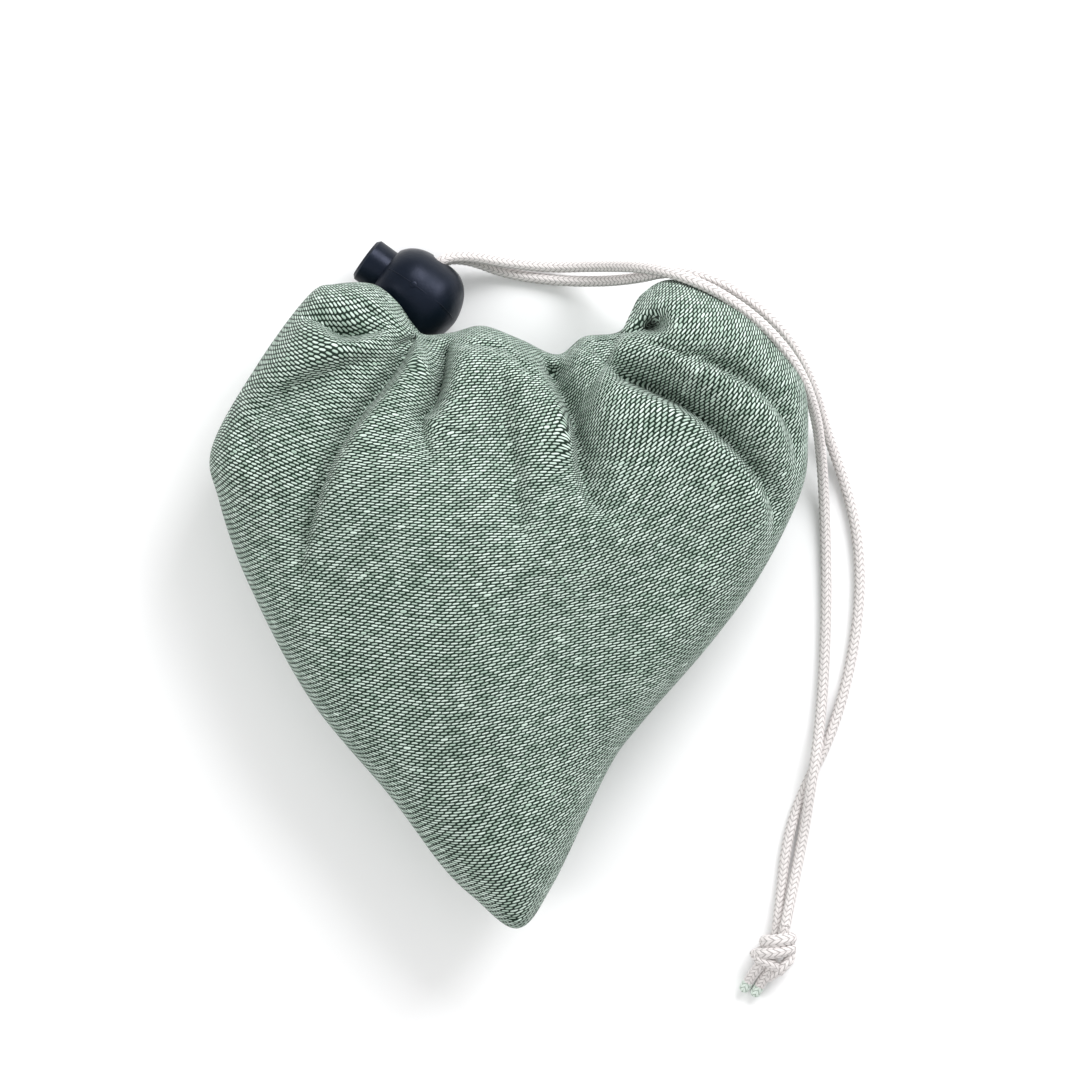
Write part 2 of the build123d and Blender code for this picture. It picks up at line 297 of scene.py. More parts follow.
def even(line, count, closed):
    """The same line with points an equal way apart."""
    line = np.vstack((line, line[:1])) if closed else line
    run = np.concatenate(([0], np.cumsum(np.linalg.norm(np.diff(line, axis=0), axis=1))))
    at = np.linspace(0, run[-1], count, endpoint=not closed)
    return np.stack([np.interp(at, run, line[:, k]) for k in range(line.shape[1])], 1)


def ring_blur(ring, sigma):
    """A closed ring of points smoothed along its length, sigma in points."""
    if sigma < 0.3:
        return ring
    wave = np.fft.rfftfreq(len(ring))
    keep = np.exp(-2 * (math.pi * wave * sigma) ** 2)[:, None]
    return np.fft.irfft(np.fft.rfft(ring, axis=0) * keep, n=len(ring), axis=0)


def smoothstep(value, low, high):
    t = np.clip((value - low) / (high - low), 0, 1)
    return t * t * (3 - 2 * t)


edge = even(catmull(OUTLINE, True), SEGMENTS, True)


def plan_ring(share):
    """The outline drawn in to a share of its size; it gets rounder towards the middle."""
    return MIDDLE + ring_blur(edge - MIDDLE, SEGMENTS * 0.055 * (1 - share) ** 1.4) * share


def edge_distance(points):
    """How far each point in plan is from the outline."""
    found = np.full(len(points), 1e9)
    for start in range(0, len(points), 4096):
        block = points[start : start + 4096]
        found[start : start + 4096] = np.sqrt(((block[:, None] - edge[None]) ** 2).sum(2)).min(1)
    return found


# Folds, in mm: a line on the front in plan, its depth along the way, and how far the hollow opens on its left
# and right. A tuck is steep on one side and gentle on the other; swell is the (rise, distance) of the roll on
# each side.
FOLDS = [
    # crisp tuck from the lock down the left side
    dict(
        line=[
            (-21.5, 59.5), (-22.8, 57.0), (-27.0, 50.6), (-32.7, 43.2), (-37.3, 36.4), (-41.3, 27.8),
            (-44.1, 19.3), (-46.1, 10.2), (-46.5, 2.0),
        ],
        depth=[3.5, 6.4, 7.0, 6.6, 6.2, 5.4, 4.2, 2.4, 0.0], left=0.95, right=3.0, sharp=1.2,
        swell=((1.3, 3.6), (0.8, 8.0)),
    ),
    # slit beside it
    dict(
        line=[
            (-13.4, 61.0), (-14.0, 57.4), (-14.9, 51.1), (-16.8, 44.9), (-19.1, 42.0), (-18.6, 37.0),
            (-16.5, 31.0),
        ],
        depth=[3.5, 7.4, 8.2, 7.0, 5.0, 2.4, 0.0], left=1.4, right=2.3, sharp=1.1,
        swell=((1.2, 4.5), (0.9, 6.0)),
    ),
    # left lobe
    dict(
        line=[(-49.5, 66.0), (-43.5, 64.2), (-37.3, 60.8), (-31.0, 61.4), (-27.0, 62.6)],
        depth=[0.0, 3.2, 7.4, 5.0, 0.0], left=4.2, right=1.0, sharp=1.3, swell=((0.5, 9.0), (1.6, 4.5)),
    ),
    dict(
        line=[(-28.5, 55.4), (-32.7, 54.5), (-39.5, 52.3), (-48.6, 48.6), (-54.9, 44.3), (-60.0, 39.0)],
        depth=[0.8, 3.0, 4.0, 4.0, 2.8, 0.0], left=4.6, right=2.0, sharp=1.5, swell=((0.4, 8.0), (0.9, 5.0)),
    ),
    dict(
        line=[(-61.5, 43.0), (-57.6, 37.5), (-54.0, 31.0)], depth=[0.0, 2.2, 0.0], left=1.4, right=3.0,
        sharp=1.3, swell=((0.4, 5), (0, 5)),
    ),
    # broad hollow right of the middle, with a rolled edge on its left
    dict(
        line=[(8.6, 58.0), (8.9, 53.5), (13.2, 44.8), (15.2, 37.5), (16.2, 29.5), (18.8, 22.7), (24.4, 17.6)],
        depth=[4.6, 7.6, 8.4, 7.6, 5.4, 3.2, 0.0], left=5.2, right=1.0, sharp=1.7,
        swell=((0.6, 9.0), (1.9, 4.0)),
    ),
    dict(
        line=[(-2.5, 58.0), (-2.0, 50.0), (0.2, 35.2), (1.4, 27.3), (2.5, 18.2), (5.9, 10.2)],
        depth=[0.8, 2.2, 3.0, 3.0, 2.0, 0.0], left=2.6, right=4.5, sharp=1.7, swell=((0.7, 7.0), (0.3, 8.0)),
    ),
    # long tuck that runs round the right shoulder
    dict(
        line=[
            (21.5, 55.0), (25.8, 51.2), (30.9, 49.0), (40.0, 44.4), (46.8, 38.8), (52.5, 33.4), (57.0, 27.2),
            (59.6, 21.2), (60.0, 13.0),
        ],
        depth=[2.2, 7.2, 9.8, 9.0, 7.6, 6.2, 4.6, 2.8, 0.0], left=4.2, right=1.0, sharp=1.6,
        swell=((0.5, 9.0), (2.1, 5.0)),
    ),
    dict(
        line=[
            (41.0, 56.6), (45.1, 54.6), (48.0, 53.2), (53.6, 50.1), (58.2, 46.4), (62.3, 41.0), (64.6, 34.5),
            (65.0, 27.0),
        ],
        depth=[1.2, 4.6, 5.8, 5.0, 4.2, 3.2, 1.8, 0.0], left=3.4, right=0.9, sharp=1.5,
        swell=((0.5, 7.0), (1.4, 4.0)),
    ),
    # pinched eye in the right lobe, and the creases that run into it
    dict(
        line=[(20.0, 60.6), (25.0, 61.4), (29.3, 61.9), (31.6, 62.6)], depth=[0.0, 2.2, 2.6, 3.0], left=1.2,
        right=0.7, sharp=1.1, swell=((0.5, 3.5), (0.9, 3.0)),
    ),
    dict(
        line=[(29.8, 59.1), (34.5, 58.2), (38.1, 56.8), (41.1, 55.5), (43.0, 54.2)],
        depth=[0.6, 1.7, 2.0, 2.2, 1.2], left=1.4, right=0.9, sharp=1.1, swell=((0.5, 3.5), (0.6, 3.0)),
    ),
    # line of stitches that closes the hem channel
    dict(
        line=[(-13.0, 59.5), (-6.6, 58.7), (-0.7, 57.7), (2.7, 54.5), (6.7, 50.7)],
        depth=[1.0, 1.1, 1.1, 0.9, 0.2], left=1.0, right=1.0, sharp=1.2, swell=((0.8, 2.6), (0.5, 3.0)),
    ),
    # pleats beside the lock
    dict(
        line=[(-18.8, 62.0), (-20.3, 61.0), (-24.2, 58.8), (-26.2, 57.3)], depth=[1.8, 3.4, 2.6, 0.0],
        left=1.0, right=0.7, sharp=1.0, swell=((0.7, 2.6), (0.9, 2.5)),
    ),
    dict(
        line=[(-31.0, 70.6), (-28.6, 69.3), (-23.9, 66.4)], depth=[0.0, 1.8, 1.0], left=0.8, right=1.2,
        sharp=1.2, swell=((0.6, 2.5), (0.4, 2.5)),
    ),
    dict(
        line=[(-36.0, 68.5), (-32.0, 66.8), (-27.5, 64.4), (-25.0, 62.0)], depth=[0.0, 0.9, 1.2, 0.6],
        left=1.0, right=1.6, sharp=1.3, swell=((0.5, 2.5), (0.3, 3.0)),
    ),
    # stray soft creases lower down
    dict(
        line=[(-10.0, 30.0), (-12.5, 22.0), (-12.0, 12.0)], depth=[0.0, 0.8, 0.0], left=3.0, right=2.2,
        sharp=1.6, swell=((0.2, 6), (0.3, 6)),
    ),
    dict(
        line=[(33.0, 27.0), (29.0, 19.0), (27.0, 9.0)], depth=[0.0, 0.7, 0.0], left=2.6, right=3.4, sharp=1.7,
        swell=((0.2, 6), (0.2, 6)),
    ),
    dict(
        line=[(-60.0, 24.0), (-53.0, 8.0), (-47.0, -6.0)], depth=[0.0, 0.7, 0.0], left=2.4, right=3.4,
        sharp=1.6, swell=((0.3, 6), (0.2, 6)),
    ),
]
EYE = np.array((33.0, 63.3))

# Broad lumps of the filling: (x, y, height, reach)
LUMPS = [
    (-46, 58, 1.6, 13), (-36, 25, 1.2, 14), (-22, 31, 1.3, 6), (-6, 48, 1.0, 8), (24, 42, 1.6, 9),
    (40, 60, 2.2, 11), (33, 20, 0.8, 16), (57, 38, 1.0, 7), (-2, -20, 0.6, 22), (-62, 30, 0.8, 8),
    (37, 66.5, 1.2, 5), (24, 55, 1.0, 5),
]


def fold_offset(points, fold):
    """How far one fold moves the front up or down at each point in plan."""
    line = even(catmull(fold["line"]), 90, False)
    shares = np.linspace(0, 1, len(fold["depth"]))
    steps = np.linalg.norm(np.diff(np.asarray(fold["line"], float), axis=0), axis=1)
    at_points = np.concatenate(([0], np.cumsum(steps)))
    low, high = line.min(0) - 22, line.max(0) + 22
    near = np.where(np.all((points > low) & (points < high), axis=1))[0]
    offset = np.zeros(len(points))
    if not len(near):
        return offset
    p = points[near]
    a, d = line[:-1], np.diff(line, axis=0)
    rel = p[:, None] - a[None]
    t = np.clip((rel * d).sum(2) / (d * d).sum(1), 0, 1)
    gap = rel - t[..., None] * d
    dist2 = (gap**2).sum(2)
    best = dist2.argmin(1)
    rows = np.arange(len(p))
    dist = np.sqrt(dist2[rows, best])
    side = np.sign(d[best, 0] * gap[rows, best, 1] - d[best, 1] * gap[rows, best, 0])
    along = (best + t[rows, best]) / len(d)
    depth = np.interp(along, at_points / at_points[-1], fold["depth"])
    reach = np.where(side > 0, fold["left"], fold["right"])
    hollow = -depth * np.exp(-((dist / reach) ** fold["sharp"]))
    (rise_l, far_l), (rise_r, far_r) = fold["swell"]
    rise, far = np.where(side > 0, rise_l, rise_r), np.where(side > 0, far_l, far_r)
    share = depth / max(fold["depth"])
    swell = rise * share * (dist / far) * np.exp(1 - dist / far)
    offset[near] = hollow + swell
    return offset


def front_height(points, inward):
    """Height of the front above the seam plane: a rounded edge, then a low dome."""
    turn = np.clip(inward / EDGE_R, 0, 1)
    rounded = EDGE_R * np.sqrt(1 - (1 - turn) ** 2)
    dome = CROWN * np.sin(0.5 * math.pi * np.clip(inward / 58.0, 0, 1)) ** 1.1
    height = rounded + dome
    relief = sum(fold_offset(points, fold) for fold in FOLDS)
    for x, y, rise, reach in LUMPS:
        relief += rise * np.exp(-((points - (x, y)) ** 2).sum(1) / reach**2)
    eye = np.linalg.norm((points - EYE) / (1.25, 1.0), axis=1)
    relief -= 7.5 * np.exp(-((eye / 1.6) ** 2)) + 1.6 * np.exp(-((eye / 4.0) ** 2))
    return height + relief * smoothstep(inward, 0.0, 5.0)


def back_depth(inward):
    """Depth of the back below the seam plane: a rounded edge, then a low dome."""
    turn = np.clip(inward / EDGE_R, 0, 1)
    rounded = EDGE_R * np.sqrt(1 - (1 - turn) ** 2)
    return rounded + 14.0 * np.sin(0.5 * math.pi * np.clip(inward / 42.0, 0, 1)) ** 1.1


# rings: even steps around the rounded edge, then even steps over the face
def ring_shares(count):
    t = np.linspace(0, 1, count)
    return 1 - (1 - np.sin(0.5 * math.pi * t)) * 0.5 - 0.5 * (1 - t)


def clear_of_lock(places):
    """Cloth that would stand in the lock is tucked in behind it."""
    rel = places - np.array(BUTTON_FACE)
    t, e = rel @ np.array(LOCK_AXIS), rel @ np.array(LOCK_OUT)
    profile = np.array(LOCK_PROFILE)
    radius = np.interp(t, profile[:, 0], profile[:, 1]) + 0.6
    height = np.abs(rel[:, 2])
    room = np.sqrt(np.clip(radius**2 - height**2, 0, None))
    hit = (t > -0.8) & (t < 26.2) & (height < radius) & (e > -room)
    moved = places.copy()
    moved[hit] += ((-room - e)[hit])[:, None] * np.array(LOCK_OUT)
    return moved


front_shares = ring_shares(FRONT_RINGS)[1:]
back_shares = ring_shares(BACK_RINGS)[1:-1]


def build_pouch():
    shares = front_shares
    rings = [plan_ring(share) for share in shares]
    plan = np.vstack(rings)
    inward = edge_distance(plan)
    inward[-SEGMENTS:] = 0
    # the plain distance has ridges where it meets in the middle; soften it ring by ring
    grid = inward.reshape(-1, SEGMENTS)
    for i in range(len(grid)):
        if shares[i] < 0.97:
            grid[i] = ring_blur(grid[i][:, None], 4 + 30 * (1 - shares[i]) ** 0.7)[:, 0]
    inward = grid.ravel()
    top = SEAM_Z + front_height(plan, inward)
    shares_b = back_shares
    plan_b = np.vstack([plan_ring(share) for share in shares_b])
    inward_b = edge_distance(plan_b)
    low = SEAM_Z - back_depth(inward_b)
    low = np.maximum(0.5 * (low + np.sqrt(low**2 + 4.0)) - 0.05, 0.0)
    front = clear_of_lock(np.column_stack((plan, top)))
    back = clear_of_lock(np.column_stack((plan_b, low)))
    centre_top = front[:SEGMENTS].mean(0)
    centre_low = back[:SEGMENTS].mean(0)
    verts = np.vstack((front, back, centre_top, centre_low))
    faces = []
    nf, nb = len(shares), len(shares_b)

    def quads(a, b, flip):
        j = np.arange(SEGMENTS)
        k = (j + 1) % SEGMENTS
        q = np.column_stack((a + j, b + j, b + k, a + k))
        return (q[:, ::-1] if flip else q).tolist()

    for i in range(nf - 1):
        faces += quads(i * SEGMENTS, (i + 1) * SEGMENTS, False)
    edge_ring = (nf - 1) * SEGMENTS
    base = nf * SEGMENTS
    for i in range(nb - 1):
        faces += quads(base + i * SEGMENTS, base + (i + 1) * SEGMENTS, True)
    faces += quads(base + (nb - 1) * SEGMENTS, edge_ring, True)
    j = np.arange(SEGMENTS)
    top_i, low_i = len(verts) - 2, len(verts) - 1
    faces += [[top_i, int(a), int(b)] for a, b in zip(j, (j + 1) % SEGMENTS)]
    faces += [[low_i, int(base + b), int(base + a)] for a, b in zip(j, (j + 1) % SEGMENTS)]
    return verts, faces, nf, nb


pouch_verts, pouch_faces, front_rings, back_rings = build_pouch()

# How the weft runs on the front: (x, y, degrees from +X). It swings round as the mouth gathers the cloth.
WEFT_RUN = [
    (-50, 56, -66), (-39, 61, -72), (-36, 69, -75), (-57, 31, -25), (-62, 33, -15), (-43, 40, -38),
    (-48, 15, -12), (-40, 17, 12), (-25, 46, -22), (-20, 24, -4), (-25, -8, -13), (-30, -30, -8),
    (-7, 47, 15), (-6, 57, 22), (0, 24, 8), (0, 1, 3), (0, -26, 8), (0, -56, 20), (9, 42, 4), (14, 42, 20),
    (21, 24, 20), (21, -10, -2), (18, 51, 25), (28, 43, 66), (34, 10, 22), (43, 58, 60), (52, 31, 28),
    (52, 51, 55), (59, 38, 52), (41, 65, 68), (40, 71, 104), (30, 64, 20), (30, 59, -5), (48, 4, 22),
    (-10, 57, 24),
]


def weft_angle(points):
    """Direction of the weft in radians, from the places that are nearest."""
    share = np.full(len(points), 1e-6)
    total = np.zeros(len(points))
    for x, y, degrees in WEFT_RUN:
        away = ((points - (x, y)) ** 2).sum(1)
        near = np.exp(-away / 8.5**2) + 1e-4 * np.exp(-away / 30**2)
        share += near
        total += near * degrees
    return np.radians(total / share)


def lay_weave(places, angle, rounds):
    """Cloth coordinates for a grid of rings: each step covers as much weft and warp as it is long."""
    rings = len(places) // SEGMENTS
    p = places.reshape(rings, SEGMENTS, 3)
    out = np.gradient(p, axis=0)
    around = (np.roll(p, -1, 1) - np.roll(p, 1, 1)) / 2
    normal = np.cross(out, around)
    normal /= np.linalg.norm(normal, axis=2)[..., None] + 1e-9
    normal[normal[..., 2].mean() * normal[..., 2] < 0] *= -1
    a = angle.reshape(rings, SEGMENTS)
    start = np.stack((np.cos(a), np.sin(a), np.zeros_like(a)), 2)
    cloth = solve_weave(p, out, around, normal, start, rounds)
    # cloth keeps its yarn spacing: the weave turns part of the way to where it would lie unstretched
    for ease in (0.6, 0.8):
        u, v = (cloth[:, k].reshape(rings, SEGMENTS) for k in (0, 1))
        turned = unstretched_weft(out, around, normal, u, v)
        mixed = (1 - ease) * start + ease * turned
        cloth = solve_weave(p, out, around, normal, mixed, rounds, (u, v))
    return cloth


def unstretched_weft(out, around, normal, u, v):
    """Direction on the surface in which the cloth coordinate u runs, from the rotation nearest to the map."""
    east = np.cross(np.cross(normal, np.array((1.0, 0, 0))), normal)
    east /= np.linalg.norm(east, axis=2)[..., None] + 1e-9
    north = np.cross(normal, east)
    a, b = (out * east).sum(2), (out * north).sum(2)
    c, d = (around * east).sum(2), (around * north).sum(2)
    det = a * d - b * c
    det = np.where(np.abs(det) < 1e-9, 1e-9, det)
    grads = []
    for f in (u, v):
        f_out = np.gradient(f, axis=0)
        f_round = (np.roll(f, -1, 1) - np.roll(f, 1, 1)) / 2
        grads.append(((d * f_out - b * f_round) / det, (a * f_round - c * f_out) / det))
    (ux, uy), (vx, vy) = grads
    turn = np.arctan2(uy - vx, ux + vy)
    return np.cos(turn)[..., None] * east + np.sin(turn)[..., None] * north


def solve_weave(p, out, around, normal, weft, rounds, guess=None):
    """Cloth coordinates whose steps follow the given weft, found by conjugate gradients."""
    rings = len(p)
    weft -= (weft * normal).sum(2)[..., None] * normal
    weft /= np.linalg.norm(weft, axis=2)[..., None] + 1e-9
    warp = np.cross(normal, weft)
    # a step counts by the strip of cloth beside it, so the crowded middle has no more say than the rest
    long_out = np.linalg.norm(out, axis=2)
    long_round = np.linalg.norm(around, axis=2)
    shape = np.clip(long_round / (long_out + 1e-9), 0.03, 30.0)
    pull_out = (shape[1:] + shape[:-1]) / 2
    pull_round = 2 / (shape + np.roll(shape, -1, 1))

    def spread(f):
        """The pull on each point from its neighbours."""
        g = np.zeros_like(f)
        d = (f[1:] - f[:-1]) * pull_out
        g[1:] += d
        g[:-1] -= d
        d = (np.roll(f, -1, 1) - f) * pull_round
        return g - d + np.roll(d, 1, 1)

    weight = np.zeros_like(shape)
    weight[1:] += pull_out
    weight[:-1] += pull_out
    weight += pull_round + np.roll(pull_round, 1, 1)
    level = math.radians(6)
    level_way = np.array((math.cos(level), math.sin(level)))
    result = []
    for n, (run, way) in enumerate(((weft, level_way), (warp, np.array((-level_way[1], level_way[0]))))):
        step_out = ((p[1:] - p[:-1]) * (run[1:] + run[:-1]) / 2).sum(2) * pull_out
        step_round = ((np.roll(p, -1, 1) - p) * (run + np.roll(run, -1, 1)) / 2).sum(2) * pull_round
        goal = np.roll(step_round, 1, 1) - step_round
        goal[1:] += step_out
        goal[:-1] -= step_out
        f = p[..., :2] @ way if guess is None else guess[n]
        left = goal - spread(f)
        eased = left / weight
        search, energy = eased.copy(), (left * eased).sum()
        for _ in range(rounds):
            pushed = spread(search)
            move = energy / (search * pushed).sum()
            f = f + move * search
            left = left - move * pushed
            eased = left / weight
            new_energy = (left * eased).sum()
            search = eased + new_energy / energy * search
            energy = new_energy
        result.append(f.ravel())
    return np.column_stack(result)


front_places = pouch_verts[: front_rings * SEGMENTS]
front_cloth = lay_weave(front_places, weft_angle(front_places[:, :2]), 500)
back_places = np.vstack((
    pouch_verts[front_rings * SEGMENTS : (front_rings + back_rings) * SEGMENTS], front_places[-SEGMENTS:]
))
back_cloth = lay_weave(back_places, np.zeros(len(back_places)), 300)
front_cloth = np.vstack((front_cloth, front_cloth[:SEGMENTS].mean(0)))
back_cloth = np.vstack((back_cloth, back_cloth[:SEGMENTS].mean(0)))


def pouch_uvs(faces):
    """Cloth coordinates for each corner; front and back are cut apart along the side seam."""
    edge_start = (front_rings - 1) * SEGMENTS
    base = front_rings * SEGMENTS
    count = len(pouch_verts)
    front_map = np.full(count, -1)
    front_map[:base] = np.arange(base)
    front_map[count - 2] = base
    back_map = np.full(count, -1)
    back_map[base : count - 2] = np.arange(count - 2 - base)
    back_map[edge_start:base] = np.arange(SEGMENTS) + back_rings * SEGMENTS
    back_map[count - 1] = (back_rings + 1) * SEGMENTS
    uvs = []
    for face in faces:
        ids = np.asarray(face)
        on_back = (front_map[ids] < 0).any()
        uvs.append(back_cloth[back_map[ids]] if on_back else front_cloth[front_map[ids]])
    return np.concatenate(uvs) * MM


pouch = mesh_object("pouch_cloth", pouch_verts, pouch_faces, weave, pouch_uvs(pouch_faces))
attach(pouch, "pouch")
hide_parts("front_panel", "back_panel")


def worst_near(levels, pick, reach=6):
    """The lowest or highest value within a few rings and segments of each."""
    found = levels.copy()
    for down in range(-reach, reach + 1, 2):
        rows = np.clip(np.arange(len(levels)) + down, 0, len(levels) - 1)
        for along in range(-reach, reach + 1, 2):
            found = pick(found, np.roll(levels[rows], along, 1))
    return found


def filled_shape(name, material, widest, front_gap, back_gap, sides=180, rings=26):
    """A closed bag inside the pouch, a gap below its front and above its back."""
    base = front_rings * SEGMENTS
    front_z = worst_near(pouch_verts[:base, 2].reshape(front_rings, SEGMENTS), np.minimum)
    back_z = worst_near(
        pouch_verts[base : base + back_rings * SEGMENTS, 2].reshape(back_rings, SEGMENTS), np.maximum
    )
    shares = widest * np.sin(0.5 * math.pi * np.linspace(0.02, 1, rings))
    pick = (np.arange(sides) * SEGMENTS / sides).astype(int)
    round_off = np.sqrt(np.clip(1 - (shares / widest) ** 6, 0, 1))
    fronts, backs = [], []
    for share, settle in zip(shares, round_off):
        plan = plan_ring(share)[pick]
        rows = []
        for levels, ring_list, gap in ((front_z, front_shares, -front_gap), (back_z, back_shares, back_gap)):
            ring = min(int(np.searchsorted(ring_list, share)), len(ring_list) - 1)
            rows.append(SEAM_Z + (levels[ring, pick] + gap - SEAM_Z) * settle)
        fronts.append(np.column_stack((plan, rows[0])))
        backs.append(np.column_stack((plan, rows[1])))
    verts = np.vstack(fronts + backs)
    half = rings * sides
    j = np.arange(sides)
    k = (j + 1) % sides
    faces = []
    for i in range(rings - 1):
        a, b = i * sides, (i + 1) * sides
        faces += np.column_stack((a + j, b + j, b + k, a + k)).tolist()
        faces += np.column_stack((half + a + k, half + b + k, half + b + j, half + a + j)).tolist()
    rim = half - sides
    faces += np.column_stack((rim + j, half + rim + j, half + rim + k, rim + k)).tolist()
    faces += [j.tolist(), (half + j[::-1]).tolist()]
    uvs = (verts[np.concatenate([np.asarray(f) for f in faces])][:, :2]) * MM
    return mesh_object(name, verts, faces, material, uvs)


def plain_cloth(name, colour, pitch):
    s = Shader(name, Roughness=0.9, Sheen_Weight=0.1, Specular_IOR_Level=0.2)
    uv = s.tree.nodes.new("ShaderNodeUVMap").outputs[0]
    split = s.node("ShaderNodeSeparateXYZ", Vector=uv).outputs
    waves = [s.math("SINE", s.math("MULTIPLY", split[k], 2 * math.pi / (pitch * MM))) for k in (0, 1)]
    weave_height = s.math("MULTIPLY", waves[0], waves[1])
    # painted shade: the colour falls to three quarters of itself where the weave is low, in its hollows
    s.put(
        s.bsdf.inputs["Base Color"],
        s.mix(s.smooth(weave_height, -1.0, 1.0), tuple(0.75 * c for c in colour[:3]) + (1,), colour),
    )
    s.put(s.bsdf.inputs["Normal"], s.bump(weave_height, 0.4, 0.0001))
    return s.material


def herb_material():
    s = Shader("dried_herbs", Roughness=0.95, Specular_IOR_Level=0.15)
    place = s.tree.nodes.new("ShaderNodeTexCoord").outputs["Object"]
    crumbs = s.node("ShaderNodeTexVoronoi", Vector=place, Scale=520.0)
    tone = s.node("ShaderNodeSeparateColor", Color=crumbs.outputs["Color"]).outputs[0]
    s.put(s.bsdf.inputs["Base Color"], s.mix(tone, rgb(74, 78, 44), rgb(158, 138, 92)))
    s.put(s.bsdf.inputs["Normal"], s.bump(crumbs.outputs["Distance"], 0.8, 0.0012))
    return s.material


muslin = plain_cloth("sachet_muslin", rgb(232, 224, 205), 0.9)
sachet = filled_shape("sachet", muslin, 0.86, 2.2, 1.6)
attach(sachet, "pouch")
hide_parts("sachet_front", "sachet_back")
herbs = filled_shape("herbs", herb_material(), 0.84, 3.4, 2.6)
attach(herbs, "pouch")
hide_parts("herb_filling")

# --------------------------------------------------------------------------------------------
# Cords
# --------------------------------------------------------------------------------------------
CORD_R = 1.3
STITCH = 1.28  # mm from one V of the braid to the next
COLUMNS = 4  # columns of stitches round the cord
SLANT = 0.9


def cord_material(name, pale, dark):
    s = Shader(name, Roughness=0.82, Sheen_Weight=0.2, Sheen_Roughness=0.4, Specular_IOR_Level=0.2)
    uv = s.tree.nodes.new("ShaderNodeUVMap").outputs[0]
    split = s.node("ShaderNodeSeparateXYZ", Vector=uv).outputs
    column = s.math("FRACT", s.math("MULTIPLY", split[1], float(COLUMNS)))
    chevron = s.math("MULTIPLY", s.math("ABSOLUTE", s.math("SUBTRACT", column, 0.5)), 2.0)
    phase = s.math("ADD", split[0], s.math("MULTIPLY", chevron, SLANT))
    wobble = s.math(
        "MULTIPLY", s.noise(s.combine(split[0], s.math("MULTIPLY", split[1], 6.0)), 1.3, 2.0), 0.35
    )
    phase = s.math("ADD", phase, wobble)
    # 1 on a stitch, 0 in the gap between two
    stitch = s.smooth(s.math("COSINE", s.math("MULTIPLY", phase, 2 * math.pi)), -1.0, -0.45)
    seam = s.smooth(s.math("COSINE", s.math("MULTIPLY", chevron, 2 * math.pi)), 1.0, 0.72)
    yarn = s.math("COSINE", s.math("MULTIPLY", phase, 8 * math.pi))
    high = s.math(
        "ADD", s.math("MULTIPLY", s.math("MINIMUM", stitch, s.math("ADD", seam, 0.35)), 1.0),
        s.math("MULTIPLY", yarn, 0.10),
    )
    fleck = s.smooth(s.noise(uv, 2.2, 3.0, 0.7), 0.70, 0.78)
    # painted shade: the colour follows the braid's relief and goes to the darker colour in the gaps between
    # stitches and along the seams between columns, where shade falls
    colour = s.mix(s.smooth(high, 0.0, 0.75), dark, pale)
    colour = s.mix(s.math("MULTIPLY", fleck, 0.35), colour, rgb(176, 172, 170))
    s.put(s.bsdf.inputs["Base Color"], colour)
    s.put(s.bsdf.inputs["Normal"], s.bump(high, 0.6, 0.00012))
    return s.material


# the second colour of each is the painted shade in the braid's grooves
cotton = cord_material("drawstring_cotton", rgb(230, 225, 223), rgb(172, 167, 165))
cotton_end = cord_material("drawstring_cut_end", rgb(220, 231, 222), rgb(150, 164, 152))


def spline_points(points, step=0.3):
    """The NURBS line that has the route's points as its control points, read at even steps."""
    curve = bpy.data.curves.new("line", "CURVE")
    curve.dimensions = "3D"
    spline = curve.splines.new("NURBS")
    spline.points.add(len(points) - 1)
    for control, p in zip(spline.points, points):
        control.co = (*[c * MM for c in p], 1)
    spline.order_u = 3
    spline.use_endpoint_u = True
    spline.resolution_u = 24
    carrier = bpy.data.objects.new("line", curve)
    bpy.context.scene.collection.objects.link(carrier)
    read = bpy.data.meshes.new_from_object(carrier)
    line = np.array([v.co for v in read.vertices]) / MM
    bpy.data.objects.remove(carrier)
    bpy.data.meshes.remove(read)
    length = np.linalg.norm(np.diff(line, axis=0), axis=1).sum()
    return even(line, int(length / step) + 1, False), length


